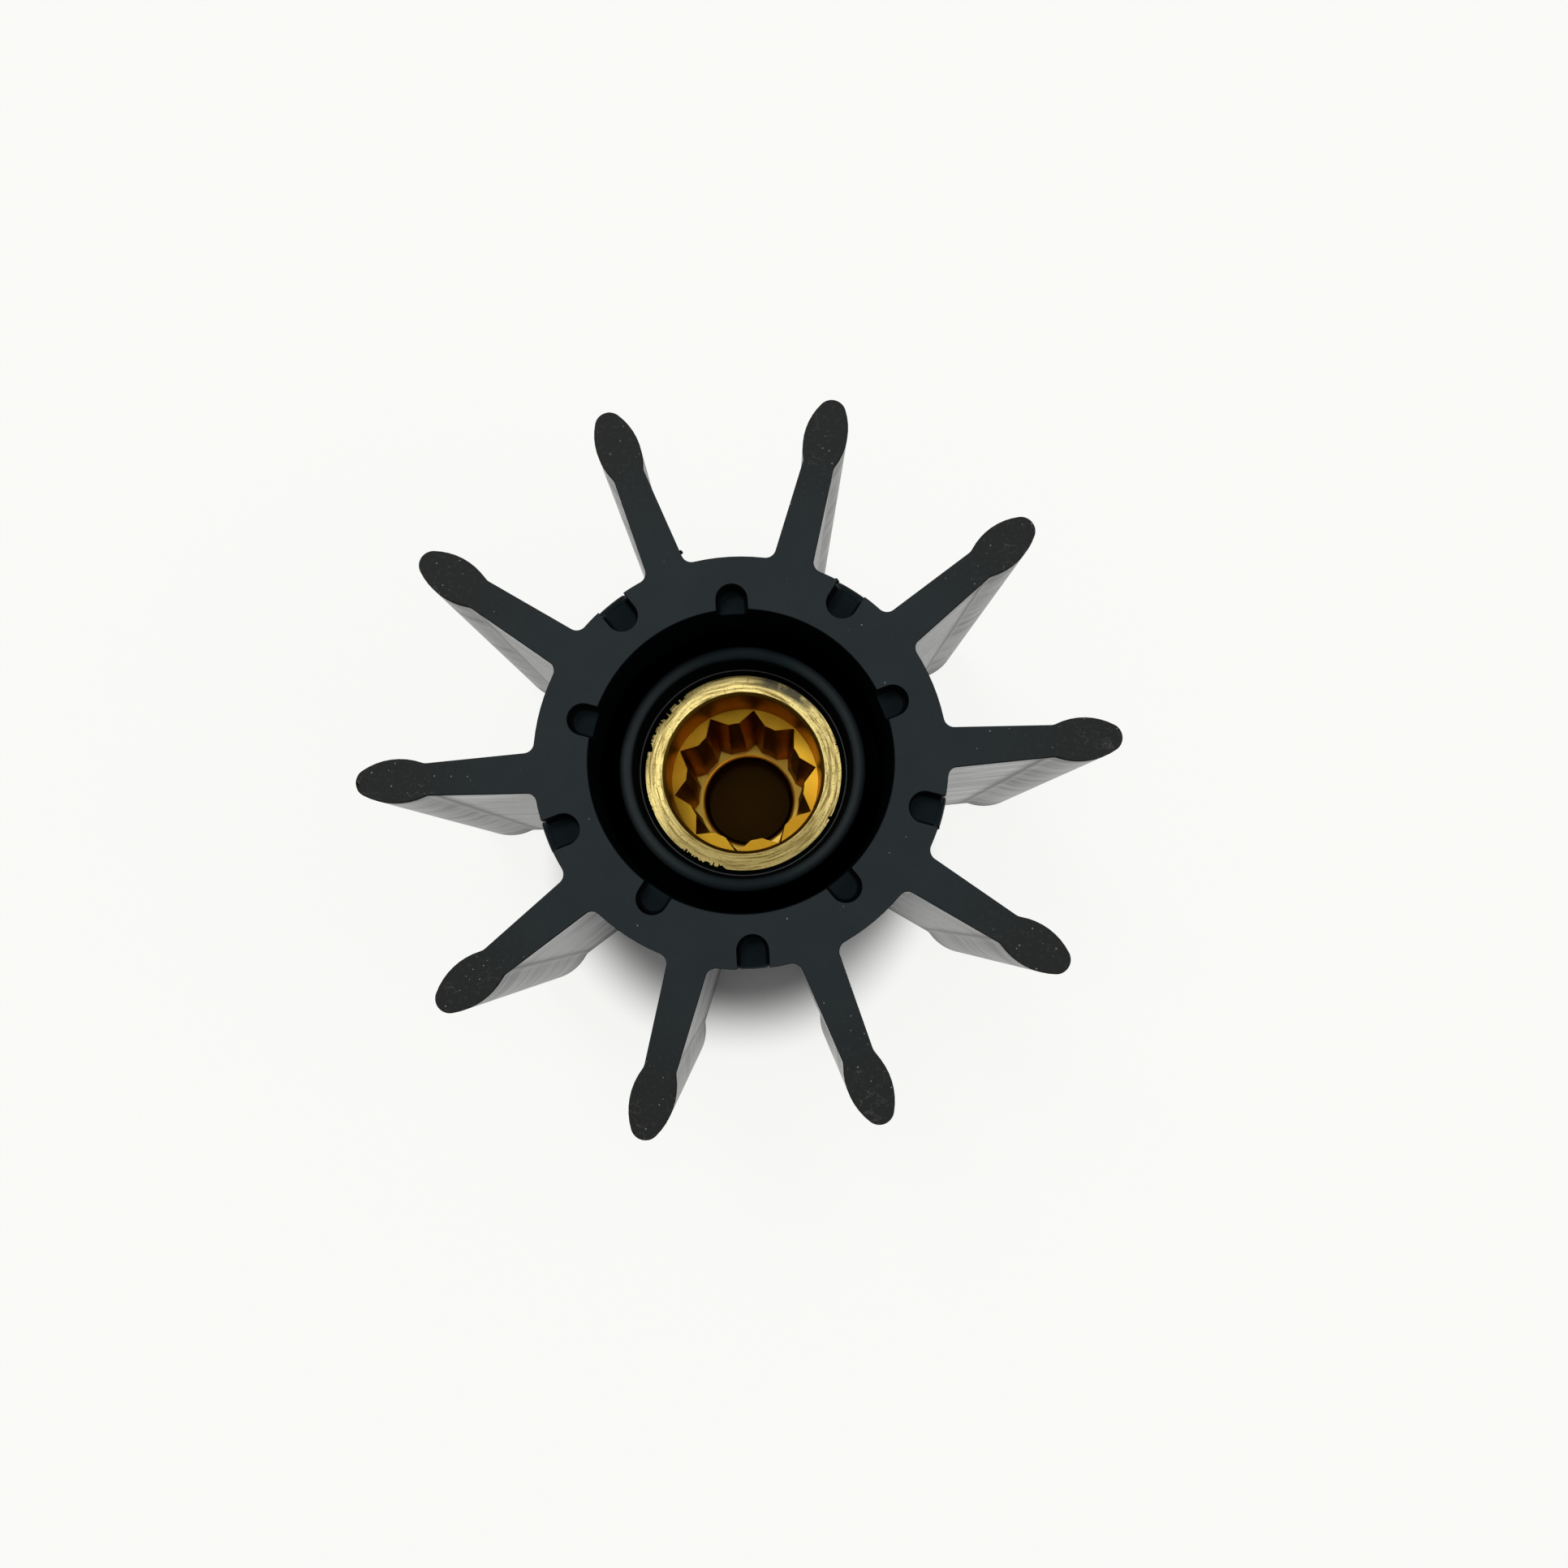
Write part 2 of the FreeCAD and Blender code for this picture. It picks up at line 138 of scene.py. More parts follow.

# Colours of the floor: painted brown shade under the bore, and white elsewhere
PAINTED_BORE_SHADE = (0.22, 0.12, 0.028, 1)
FLOOR_WHITE = (0.93, 0.93, 0.92, 1)


def add_camera():
    """The photograph's view, almost straight down on the upper end."""
    data = bpy.data.cameras.new("camera")
    data.sensor_width = SENSOR_WIDTH
    data.lens = FOCAL_LENGTH
    data.clip_start = 0.01
    camera = bpy.data.objects.new("camera", data)
    bpy.context.scene.collection.objects.link(camera)
    into_view = Matrix.Rotation(CAMERA_PITCH, 4, "X") @ Matrix.Rotation(CAMERA_ROLL, 4, "Y")
    camera.matrix_world = Matrix.Translation(CAMERA_PLACE) @ into_view.transposed()
    bpy.context.scene.camera = camera


def stand_lamp(name, data, place, aim):
    """Stands a lamp at a place and turns it towards its aim."""
    lamp = bpy.data.objects.new(name, data)
    bpy.context.scene.collection.objects.link(lamp)
    turn = (Vector(aim) - Vector(place)).to_track_quat("-Z", "Y")
    lamp.matrix_world = Matrix.Translation(place) @ turn.to_matrix().to_4x4()


def add_softbox(name, place, size, power):
    """A square area lamp that faces the part."""
    data = bpy.data.lights.new(name, "AREA")
    data.size = size
    data.energy = power
    stand_lamp(name, data, place, MIDDLE_OF_PART)


def add_bore_lamp(name, place, power):
    """A narrow lamp above the part, which reaches only the ledge and the bore."""
    data = bpy.data.lights.new(name, "SPOT")
    data.energy = power
    data.shadow_soft_size = 6.0 * MM
    data.spot_size = 2.0 * math.atan(BORE_LAMP_REACH / (place[2] - LEDGE_LEVEL))
    data.spot_blend = 0.2
    stand_lamp(name, data, place, (0, 0, LEDGE_LEVEL))


class Finish:
    """A material's node tree round its Principled shader.

    It knows each point's place on the object, its radius and angle round the axis, and its height.
    """

    def __init__(self, name):
        self.material = bpy.data.materials.new(name)
        self.material.use_nodes = True
        self.tree = self.material.node_tree
        self.shader = self.tree.nodes["Principled BSDF"]
        self.point = self.node("TexCoord", output="Object")
        x, y, self.height = (self.node("SeparateXYZ", {0: self.point}, output=axis) for axis in range(3))
        self.flat = self.vector(x, y, 0.0)
        self.radius = self.node("VectorMath", {0: self.flat}, output="Value", operation="LENGTH")
        self.angle = self.maths("ARCTAN2", y, x)

    def node(self, kind, inputs=None, output=0, **settings):
        """Adds a node, fills its inputs with numbers or other nodes' outputs, and gives one output back."""
        node = self.tree.nodes.new("ShaderNode" + kind)
        for name, value in settings.items():
            setattr(node, name, value)
        for name, value in (inputs or {}).items():
            self.fill(node.inputs[name], value)
        return node.outputs[output]

    def fill(self, socket, value):
        """Links an output to a socket, or sets the socket's own value."""
        if isinstance(value, bpy.types.NodeSocket):
            self.tree.links.new(value, socket)
        else:
            socket.default_value = value

    def surface(self, **inputs):
        """Fills the Principled shader's sockets, whose names have spaces where these have underscores."""
        for name, value in inputs.items():
            self.fill(self.shader.inputs[name.replace("_", " ")], value)

    def maths(self, operation, first, second=0.0):
        return self.node("Math", {0: first, 1: second}, operation=operation)

    def chain(self, operation, first, *others):
        """Works several values together, one after the other."""
        for other in others:
            first = self.maths(operation, first, other)
        return first

    def times(self, *shares):
        return self.chain("MULTIPLY", *shares)

    def total(self, *shares):
        return self.chain("ADD", *shares)

    def most(self, *shares):
        return self.chain("MAXIMUM", *shares)

    def rest(self, share):
        """What a share leaves of the whole."""
        return self.maths("SUBTRACT", 1.0, share)

    def off(self, value, middle):
        """How far a value is from a middle one, either way."""
        return self.maths("ABSOLUTE", self.maths("SUBTRACT", value, middle))

    def mix(self, share, first, second):
        """A colour between two, by a share from 0 to 1."""
        return self.node("Mix", {0: share, 6: first, 7: second}, output=2, data_type="RGBA")

    def ramp(self, value, low, high, start=0.0, end=1.0):
        """A smooth step, from start where the value is low to end where it is high."""
        limits = {"From Min": low, "From Max": high, "To Min": start, "To Max": end}
        return self.node("MapRange", {"Value": value, **limits}, interpolation_type="SMOOTHSTEP")

    def noise(self, vector, scale, detail=2.0, roughness=0.5):
        inputs = {"Vector": vector, "Scale": scale, "Detail": detail, "Roughness": roughness}
        return self.node("TexNoise", inputs)

    def vector(self, x, y, z):
        return self.node("CombineXYZ", {0: x, 1: y, 2: z})

    def round_noise(self, around, outwards, upwards, wander, detail=4.0):
        """Noise with its own scale round the axis, outwards and upwards, and no seam.

        It is noise in four dimensions, of the direction from the axis, the height, and the radius. The
        radius wanders a little, so that the rings aren't true circles.
        """
        direction = self.node("VectorMath", {0: self.flat}, operation="NORMALIZE")
        direction = self.node("VectorMath", {0: direction, "Scale": around}, operation="SCALE")
        level = self.vector(0.0, 0.0, self.times(self.height, upwards))
        spot = self.node("VectorMath", {0: direction, 1: level}, operation="ADD")
        stray = self.times(self.noise(self.point, 300.0), wander)
        away = self.times(self.total(self.radius, stray), outwards)
        inputs = {"Vector": spot, "W": away, "Scale": 1.0, "Detail": detail, "Roughness": 0.65}
        return self.node("TexNoise", inputs, noise_dimensions="4D")

    def facing_up(self, low, high):
        """How far the surface faces up: nothing below a low cosine, and the whole above a high one."""
        up = self.node("SeparateXYZ", {0: self.node("TexCoord", output="Normal")}, output=2)
        return self.ramp(up, low, high)

    def bump(self, height, distance, strength, below=None):
        """Relief of a pattern, over another relief where one is given."""
        inputs = {"Height": height, "Distance": distance, "Strength": strength}
        if below is not None:
            inputs["Normal"] = below
        return self.node("Bump", inputs)

    def specks(self, per_metre, share, size):
        """Scattered dots of a random size up to the given one, in a share of a Voronoi pattern's cells."""
        cells = {"Vector": self.point, "Scale": per_metre}
        distance = self.node("TexVoronoi", cells, output="Distance")
        chance = self.node("TexVoronoi", cells, output="Color")
        chosen = self.maths("LESS_THAN", self.node("SeparateColor", {0: chance}), share)
        reach = self.times(self.node("SeparateColor", {0: chance}, output=1), size)
        return self.times(chosen, self.maths("LESS_THAN", distance, reach))


class RubberZones:
    """Where on the rubber a point is, as shares from 0 to 1."""

    def __init__(self, finish):
        radius, height = finish.radius, finish.height
        upward = finish.facing_up(0.75, 0.97)
        self.outside = finish.ramp(radius, RECESS_RADIUS, RECESS_RADIUS + 0.15 * MM)
        self.on_top = finish.times(
            upward, self.outside, finish.ramp(height, NOTCH_FLOOR + 0.7 * MM, TOP - 0.1 * MM))
        self.flank = finish.times(
            finish.rest(upward),
            finish.ramp(height, TOP - 0.3 * MM, TOP - 0.9 * MM),
            finish.ramp(radius, HUB_RADIUS - 0.3 * MM, HUB_RADIUS - 0.05 * MM))
        self.crest = finish.times(
            finish.ramp(radius, COLLAR_RADIUS + 0.3 * MM, COLLAR_RADIUS + 0.1 * MM),
            finish.ramp(height, CREST_LEVEL - 0.55 * MM, CREST_LEVEL - 0.1 * MM))
        self.lip = finish.times(
            finish.ramp(finish.off(radius, LIP_RADIUS), 0.12 * MM, 0.05 * MM),
            finish.ramp(height, INSERT_FACE + 0.28 * MM, INSERT_FACE + 0.38 * MM),
            finish.ramp(height, INSERT_FACE + 0.6 * MM, INSERT_FACE + 0.5 * MM))
        in_notch = finish.times(
            upward, self.outside, finish.ramp(height, TOP - 0.1 * MM, NOTCH_FLOOR + 0.7 * MM), 0.8)
        # Outside these zones the rubber gets painted shade, and on the notches' floors a fifth of it
        self.free_of_painted_shade = finish.most(self.on_top, self.flank, self.crest, self.lip, in_notch)


def rubber_colour(finish, zones):
    """Mottled cool black, greyer towards the vane tips, with haze, fine scratches and dust on the ends, and
    blacker painted shade in the recess, along the upper edges and in the notches.
    """
    point, radius = finish.point, finish.radius
    mottle = finish.noise(point, 260.0, detail=4.0, roughness=0.6)
    tone = finish.mix(mottle, COOL_BLACK, COOL_GREY)
    tone = finish.mix(finish.ramp(radius, 19.0 * MM, 31.0 * MM), tone, TIP_GREY)
    # Painted shade where none of the zones reaches
    tone = finish.mix(zones.free_of_painted_shade, PAINTED_SHADE_BLACK, tone)

    haze = finish.times(
        zones.on_top,
        finish.ramp(finish.noise(point, 2600.0, detail=4.0, roughness=0.7), 0.52, 0.74),
        finish.ramp(radius, 19.0 * MM, 30.0 * MM, 0.05, 0.42))
    tone = finish.mix(haze, tone, HAZE_GREY)

    # A scratch runs where a noise passes its middle value, and only in some places
    scratches = finish.times(
        zones.on_top,
        finish.ramp(finish.off(finish.noise(point, 700.0, detail=3.0), 0.5), 0.012, 0.0),
        finish.ramp(finish.noise(point, 450.0), 0.50, 0.62),
        finish.ramp(radius, 24.0 * MM, 28.0 * MM, 0.0, 0.5))
    tone = finish.mix(scratches, tone, WISP_GREY)

    crowd = finish.ramp(radius, 17.0 * MM, 30.0 * MM, 0.01, 0.16)
    dust = finish.times(finish.specks(3600.0, crowd, 0.24), zones.on_top)
    return finish.mix(dust, tone, DUST_GREY)


def black_rubber():
    """Moulded black rubber: matt cool black ends, and sides with a sheen and drag marks.

    Inside the recess, along the upper edges and in the notches it has painted shade, blacker, and in the
    recess with almost no reflection, apart from the collar's crest and lip.
    """
    finish = Finish("black_rubber")
    radius, height = finish.radius, finish.height
    zones = RubberZones(finish)

    # Worn streaks in the sides' reflection and sheen, with painted shade that fades them in the vanes' necks
    # and towards the foot; they are weaker on the bulbs
    drag = finish.round_noise(2.0, 60.0, 420.0, wander=3.0 * MM, detail=6.0)
    fine_drag = finish.round_noise(6.0, 300.0, 2200.0, wander=1.5 * MM)
    wear_and_painted_shade = finish.times(
        zones.flank,
        finish.ramp(drag, 0.38, 0.62, 0.35, 1.95),
        finish.ramp(fine_drag, 0.38, 0.62, 0.8, 1.2),
        finish.ramp(finish.off(radius, NECK_RADIUS), 0.0, 1.5 * MM),
        finish.ramp(radius, NECK_RADIUS, NECK_RADIUS + 1.5 * MM, 1.1, 0.5),
        finish.ramp(height, 0.0, 11.0 * MM))

    # Painted highlight: the crest's reflection is raised on the left and right, along the X axis
    across = finish.maths("ABSOLUTE", finish.maths("COSINE", finish.angle))
    painted_crest_highlight = finish.times(zones.crest, finish.ramp(across, 0.2, 0.85, 0.05, 0.30))

    grained = finish.bump(finish.noise(finish.point, 7000.0), 0.004 * MM, 0.6)
    finish.surface(
        Base_Color=rubber_colour(finish, zones),
        Normal=finish.bump(finish.times(drag, zones.flank), 0.16 * MM, 0.6, below=grained),
        Roughness=finish.ramp(zones.flank, 0.0, 1.0, 0.70, 0.30),
        # An IOR near 1 takes the reflection out of the painted shade inside the recess
        IOR=finish.ramp(finish.most(zones.free_of_painted_shade, zones.outside), 0.0, 1.0, 1.08, 1.5),
        Specular_IOR_Level=finish.total(
            0.03, finish.times(wear_and_painted_shade, 0.6), finish.times(zones.on_top, 0.20), painted_crest_highlight, zones.lip),
        Sheen_Weight=finish.times(wear_and_painted_shade, 0.32),
        Sheen_Roughness=0.35)
    return finish.material


def turned_face(finish, rings, mottle):
    """Pale brass with turning marks and pits, painted shade on its -Y side, and a tarnished patch."""
    radius, angle = finish.radius, finish.angle
    pale = finish.mix(finish.ramp(rings, 0.36, 0.60), FURROW_BRASS, RIDGE_BRASS)
    pits = finish.ramp(finish.noise(finish.point, 5200.0, detail=3.0), 0.56, 0.68)
    pale = finish.mix(finish.times(pits, 0.6), pale, PIT_BRASS)
    # Painted shade on the face's -Y side
    face_painted_shade = finish.ramp(finish.maths("SINE", angle), -0.2, -0.9, 0.0, 0.65)
    pale = finish.mix(face_painted_shade, pale, PAINTED_SHADE_BRASS)

    patch = finish.times(
        finish.ramp(angle, math.radians(34), math.radians(54)),
        finish.ramp(angle, math.radians(92), math.radians(74)),
        finish.ramp(radius, INSERT_RADIUS - 1.3 * MM, INSERT_RADIUS - 0.6 * MM),
        finish.ramp(mottle, 0.30, 0.50))
    return finish.mix(finish.times(patch, 0.95), pale, TARNISH)


def inner_gold(finish, upward, mottle):
    """Deeper gold, with painted shade on the -Y side and down the grooves, and painted light on the ledge."""
    height = finish.height
    gold = finish.mix(mottle, DARK_GOLD, LIGHT_GOLD)
    # Painted shade on the -Y side
    inner_painted_shade = finish.ramp(finish.maths("SINE", finish.angle), 0.1, -0.5, 0.0, 0.6)
    gold = finish.mix(inner_painted_shade, gold, PAINTED_SHADE_GOLD)
    # Painted shade, deepening down the grooves towards the ledge
    down = finish.ramp(height, LEDGE_LEVEL + 9.0 * MM, LEDGE_LEVEL, 0.0, 0.9)
    gold = finish.mix(finish.times(finish.rest(upward), down), gold, GROOVE_SHADE_GOLD)
    # Painted light on the ledge
    on_ledge = finish.times(upward, finish.maths("LESS_THAN", height, LEDGE_LEVEL + 0.1 * MM))
    return finish.mix(on_ledge, gold, PAINTED_LIGHT_GOLD)


def turned_brass():
    """Brass: a pale turned face with rings and a tarnished patch, and deeper gold inside."""
    finish = Finish("turned_brass")
    upward = finish.facing_up(0.7, 0.95)
    on_face = finish.times(upward, finish.maths("GREATER_THAN", finish.height, INSERT_FACE - 0.5 * MM))
    rings = finish.round_noise(3.0, 6500.0, 3000.0, wander=0.4 * MM)
    mottle = finish.noise(finish.point, 420.0, detail=5.0, roughness=0.6)
    face = turned_face(finish, rings, mottle)
    inside = inner_gold(finish, upward, mottle)
    finish.surface(
        Base_Color=finish.mix(on_face, inside, face),
        Metallic=1.0,
        Specular_Tint=finish.mix(on_face, GOLD_GLANCE, FACE_GLANCE),
        Roughness=finish.ramp(upward, 0.0, 1.0, 0.28, 0.42),
        Normal=finish.bump(rings, 0.02 * MM, finish.ramp(on_face, 0.0, 1.0, 0.04, 0.9)))
    return finish.material


def white_floor():
    """Matt white paper, with painted brown shade under the bore.

    Where it is seen directly or in a reflection, its shade fades to white away from a place below the hub.
    """
    finish = Finish("white_floor")
    # Painted brown shade under the bore
    past_bore = finish.ramp(finish.radius, BORE_RADIUS + 0.2 * MM, BORE_RADIUS + 1.7 * MM)
    finish.surface(
        Base_Color=finish.mix(past_bore, PAINTED_BORE_SHADE, FLOOR_WHITE), Roughness=1.0, Specular_IOR_Level=0.0)
    rays = ("Is Camera Ray", "Is Glossy Ray", "Is Transmission Ray")
    seen = finish.most(*(finish.node("LightPath", output=ray) for ray in rays))
    away = finish.node("VectorMath", {0: finish.flat, 1: FADE_MIDDLE}, output="Value", operation="DISTANCE")
    fading = finish.ramp(away, FADE_START, FADE_END, 0.0, 0.93)
    white = finish.node("Emission", {"Color": PAPER_WHITE, "Strength": 1.0})
    paper = finish.shader.outputs[0]
    choice = finish.node("MixShader", {0: finish.times(seen, fading), 1: paper, 2: white})
    finish.fill(finish.tree.nodes["Material Output"].inputs["Surface"], choice)
    finish.material.cycles.emission_sampling = "NONE"
    return finish.material


def add_floor(material):
    """A flat square of paper, far wider than the view."""
    half = FLOOR_HALF_WIDTH
    corners = [(-half, -half, 0), (half, -half, 0), (half, half, 0), (-half, half, 0)]
    mesh = bpy.data.meshes.new("floor")
    mesh.from_pydata(corners, [], [(0, 1, 2, 3)])
    mesh.materials.append(material)
    floor = bpy.data.objects.new("floor", mesh)
    bpy.context.scene.collection.objects.link(floor)


def light_world(strength):
    """White light from all round, dim where the photographer stood. The camera sees it as white paper."""
    world = bpy.data.worlds.new("studio")
    bpy.context.scene.world = world
    world.use_nodes = True
    nodes, links = world.node_tree.nodes, world.node_tree.links
    around = nodes["Background"]
    around.inputs["Color"].default_value = (1, 1, 1, 1)

    # The strength drops near the photographer's direction, by the cosine of the angle to it
    toward = nodes.new("ShaderNodeTexCoord")
    nearness = nodes.new("ShaderNodeVectorMath")
    nearness.operation = "DOT_PRODUCT"
    nearness.inputs[1].default_value = PHOTOGRAPHER
    shade = nodes.new("ShaderNodeMapRange")
    shade.interpolation_type = "SMOOTHSTEP"
    limits = {"From Min": 0.90, "From Max": 0.985, "To Min": strength, "To Max": 0.15 * strength}
    for name, value in limits.items():
        shade.inputs[name].default_value = value
    links.new(toward.outputs["Object"], nearness.inputs[0])
    links.new(nearness.outputs["Value"], shade.inputs["Value"])
    links.new(shade.outputs[0], around.inputs["Strength"])

    seen = nodes.new("ShaderNodeBackground")
    seen.inputs["Color"].default_value = PAPER_WHITE
    seen.inputs["Strength"].default_value = 1.0
    choice = nodes.new("ShaderNodeMixShader")
    path = nodes.new("ShaderNodeLightPath")
    links.new(path.outputs["Is Camera Ray"], choice.inputs[0])
    links.new(around.outputs[0], choice.inputs[1])
    links.new(seen.outputs[0], choice.inputs[2])
    links.new(choice.outputs[0], nodes["World Output"].inputs["Surface"])


def rounded_copy(node, name, rounding, material):
    """A sub-part's own skin as one closed mesh with rounded edges, in place of the plain solid."""
    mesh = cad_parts[node].data.copy()
    mesh.name = name
    skin = bmesh.new()
    skin.from_mesh(mesh)
    bmesh.ops.remove_doubles(skin, verts=skin.verts, dist=1e-6)
    skin.to_mesh(mesh)
    skin.free()
    if "custom_normal" in mesh.attributes:
        mesh.attributes.remove(mesh.attributes["custom_normal"])
    mesh.materials.clear()
    mesh.materials.append(material)
    mesh.shade_smooth()
    piece = bpy.data.objects.new(name, mesh)
    bpy.context.scene.collection.objects.link(piece)
    bevel = piece.modifiers.new("edges", "BEVEL")
    bevel.width = rounding
    bevel.segments = 3
    bevel.limit_method = "ANGLE"
    bevel.angle_limit = math.radians(32)
    bevel.use_clamp_overlap = False
    bevel.harden_normals = True
    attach(piece, "root")
    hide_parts(node)


def rings_of_points(angle, section):
    """An array (angle, point, xyz) of a section of radii and heights turned round the axis.

    The angle is in degrees, and each radius and height is one number or an array over the angle.
    """
    turn = np.radians(angle)
    return np.stack([
        np.stack([radius * np.cos(turn), radius * np.sin(turn), height + 0 * turn], axis=-1)
        for radius, height in section], axis=1)


def closed_strip(rows):
    """Corners and faces of a closed skin over an array (row, point, xyz), with a flat cap at each end."""
    count, width = rows.shape[:2]
    first = np.arange(count - 1)[:, None] * width + np.arange(width)[None, :]
    following = np.arange(count - 1)[:, None] * width + (np.arange(width)[None, :] + 1) % width
    sides = np.stack([first, following, following + width, first + width], axis=-1).reshape(-1, 4)
    caps = [tuple(range(width))[::-1], tuple(range((count - 1) * width, count * width))]
    return rows.reshape(-1, 3), sides.tolist() + caps


def closed_ring(angle, section):
    """Corners and faces of a ring round the axis, whose section is closed at each angle."""
    rows = rings_of_points(angle, section)
    index = np.arange(rows.shape[0] * rows.shape[1]).reshape(rows.shape[:2])
    beside = np.roll(index, -1, axis=0)
    faces = np.stack([index, beside, np.roll(beside, -1, axis=1), np.roll(index, -1, axis=1)], axis=-1)
    return rows.reshape(-1, 3), faces.reshape(-1, 4).tolist()


def added_piece(name, parts, material):
    """One mesh of several closed skins, which rides on the part and adds to what has the same material."""
    corners, faces, start = [], [], 0
    for points, part_faces in parts:
        corners.append(points)
        faces += [[index + start for index in face] for face in part_faces]
        start += len(points)
    mesh = bpy.data.meshes.new(name)
    mesh.from_pydata(np.concatenate(corners).tolist(), [], faces)
    mesh.materials.append(material)
    mesh.shade_smooth()
    skin = bmesh.new()
    skin.from_mesh(mesh)
    bmesh.ops.recalc_face_normals(skin, faces=skin.faces)
    skin.to_mesh(mesh)
    skin.free()
    piece = bpy.data.objects.new(name, mesh)
    bpy.context.scene.collection.objects.link(piece)
    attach(piece, "root")


def bells(angle, bumps):
    """Sum of bell shapes over an angle in degrees, each given by its middle, half width and height.

    Each is its height times e to the minus fourth power of the distance from its middle in half widths.
    """
    total = np.zeros_like(angle)
    for middle, half_width, height in bumps:
        distance = (angle - middle + 180.0) % 360.0 - 180.0
        total += height * np.exp(-((distance / half_width) ** 4))
    return total


def rim_film():
    """Rubber left on the rim of the brass face.

    A grid over the angle round the axis and a closed section of six points. The film's reach inwards is a
    sum of bell shapes times a sum of sines of the angle. Where it is nothing, the section sinks in the seat.
    """
    angle = np.linspace(0.0, 360.0, 2160, endpoint=False)
    dice = np.random.default_rng(7)
    ragged = sum(0.3 * np.sin(np.radians(wave * angle + dice.uniform(0, 360))) for wave in FILM_WAVES)
    reach = bells(angle, FILM_PATCHES) * np.clip(0.6 + 1.5 * ragged, 0.0, 1.0) * MM
    there = np.clip(reach / (0.05 * MM), 0.0, 1.0)
    face = INSERT_FACE - (1.0 - there) * 0.30 * MM
    outer = INSERT_RADIUS + 0.03 * MM
    return closed_ring(angle, [
        (outer, INSERT_FACE - 0.26 * MM),
        (outer, face + 0.03 * MM),
        (INSERT_RADIUS - 0.2 * reach, face + 0.07 * MM),
        (INSERT_RADIUS - 0.75 * reach, face + 0.06 * MM),
        (INSERT_RADIUS - reach, face + 0.015 * MM),
        (INSERT_RADIUS - reach, face - 0.03 * MM)])


def round_bead(radius, height, half_width, half_height):
    """A bead round the axis: a grid over the angle and an ellipse round a radius and a height."""
    angle = np.linspace(0.0, 360.0, 360, endpoint=False)
    return closed_ring(angle, [
        (radius + half_width * math.cos(step), height + half_height * math.sin(step))
        for step in np.linspace(0.0, 2 * math.pi, 24, endpoint=False)])


def collar_beads(material):
    """The round crest of the collar, the thin lip at its foot, and the film on the brass, all of rubber."""
    crest = round_bead(COLLAR_RADIUS - CREST_HALF_WIDTH, CREST_MIDDLE, CREST_HALF_WIDTH, CREST_HALF_HEIGHT)
    lip = round_bead(LIP_RADIUS, LIP_MIDDLE, LIP_HALF_WIDTH, LIP_HALF_HEIGHT)
    added_piece("collar_beads", [crest, lip, rim_film()], material)


def bore_mouth(material):
    """The round edge between the ledge and the bore.

    A grid over the angle and a quarter circle, which two points inside the metal close.
    """
    angle = np.linspace(0.0, 360.0, 180, endpoint=False)
    size = BORE_MOUTH_SIZE
    middle, level = BORE_RADIUS + size, LEDGE_LEVEL - size
    section = [(middle - size * math.sin(step), level + size * math.cos(step))
               for step in np.linspace(0.0, math.pi / 2, 13)]
    section += [(middle - 0.2 * size, level), (middle, level + 0.2 * size)]
    added_piece("bore_mouth", [closed_ring(angle, section)], material)


def mouth_lip(middle, reach):
    """Thin skin that the mould left along the floor of an outer notch, where it opens on the hub's side.

    A grid over the angle across the mouth and a closed section of six points. The lip stands out from the
    hub by its reach, which fades at the notch's walls by one minus the fourteenth power of the way to them.
    """
    half = math.degrees(NOTCH_HALF_WIDTH / HUB_RADIUS) + 0.6
    angle = np.linspace(middle - half, middle + half, 121)
    fade = 1.0 - np.abs((angle - middle) / half) ** 14
    out = np.clip(reach * fade, 0.0, None)
    inner = HUB_RADIUS - 0.5 * MM
    root = HUB_RADIUS - 0.03 * MM
    return closed_strip(rings_of_points(angle, [
        (inner, NOTCH_FLOOR - 0.7 * MM),
        (root - 0.02 * MM, NOTCH_FLOOR - 0.75 * MM),
        (root + 0.8 * out, NOTCH_FLOOR - 0.35 * MM),
        (root + out, NOTCH_FLOOR - 0.08 * MM),
        (root + 0.85 * out, NOTCH_FLOOR + 0.03 * MM),
        (inner, NOTCH_FLOOR - 0.01 * MM)]))


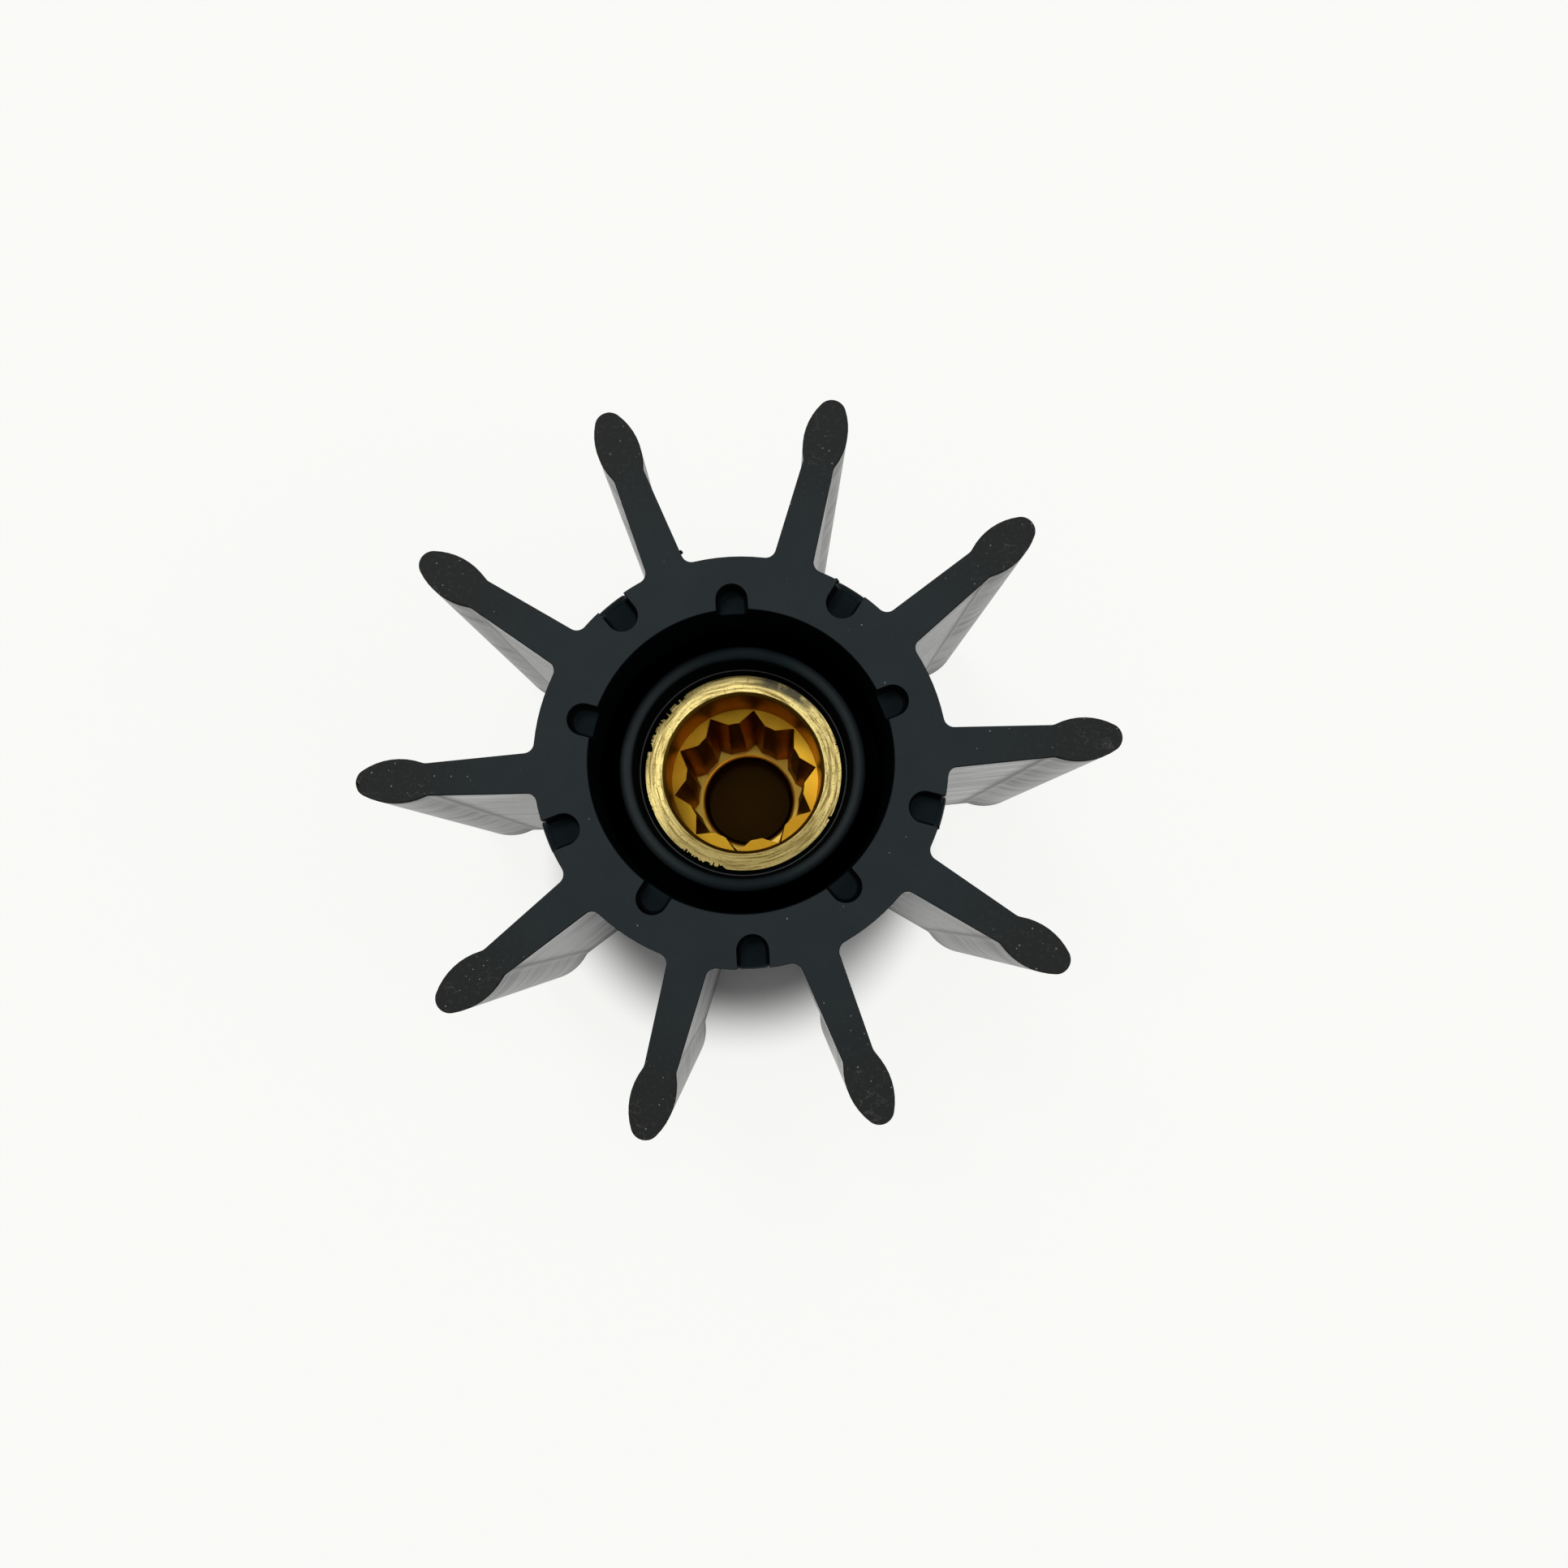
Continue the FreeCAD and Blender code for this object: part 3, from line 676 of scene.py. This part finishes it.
def torn_grain(radius, degrees, drop, size):
    """A small rough grain of rubber at a radius and an angle, dropped below the upper end face.

    A flattened ball over the angle from its pole and the angle round it, whose radius is stirred by sines
    of both. Its caps close the poles.
    """
    from_pole = np.linspace(0.02, math.pi - 0.02, 9)
    round_pole = np.linspace(0.0, 2 * math.pi, 12, endpoint=False)
    down, turn = np.meshgrid(from_pole, round_pole, indexing="ij")
    stirred = size * (1.0 + 0.18 * np.sin(3 * turn + 2 * down) + 0.12 * np.sin(5 * down + turn))
    x = stirred * np.sin(down) * np.cos(turn)
    y = stirred * np.sin(down) * np.sin(turn)
    z = 0.8 * stirred * np.cos(down)
    place = math.radians(degrees)
    middle = np.array([radius * math.cos(place), radius * math.sin(place), TOP - drop])
    return closed_strip(np.stack([x, y, z], axis=-1) + middle)


def moulding_flash(material):
    """Lips at the mouths of the five outer notches, and torn grains at two notches and a vane's root."""
    skins = [mouth_lip(FIRST_OUTER_NOTCH + OUTER_NOTCH_STEP * turn, reach)
             for turn, reach in enumerate(MOUTH_LIP_REACHES)]
    skins += [
        torn_grain(HUB_RADIUS - 0.08 * MM, 62.3, 0.32 * MM, 0.22 * MM),
        torn_grain(HUB_RADIUS - 0.06 * MM, -18.9, 0.32 * MM, 0.18 * MM),
        torn_grain(HUB_RADIUS + 1.15 * MM, 106.25, 0.30 * MM, 0.17 * MM)]
    added_piece("moulding_flash", skins, material)


bpy.context.scene.view_settings.view_transform = "Standard"
add_camera()
light_world(strength=0.55)
add_softbox("key_softbox", place=(-0.22, 0.32, 0.87), size=0.25, power=3.2)
add_softbox("side_softbox", place=(0.58, -0.12, 0.60), size=0.35, power=1.4)
add_bore_lamp("bore_lamp", place=(-0.004, 0.012, 0.62), power=0.6)
add_floor(white_floor())

rubber = black_rubber()
brass = turned_brass()
rounded_copy("rubber_body", "moulded_rubber", RUBBER_ROUNDING, rubber)
rounded_copy("splined_insert", "brass_insert", BRASS_ROUNDING, brass)
collar_beads(rubber)
bore_mouth(brass)
moulding_flash(rubber)
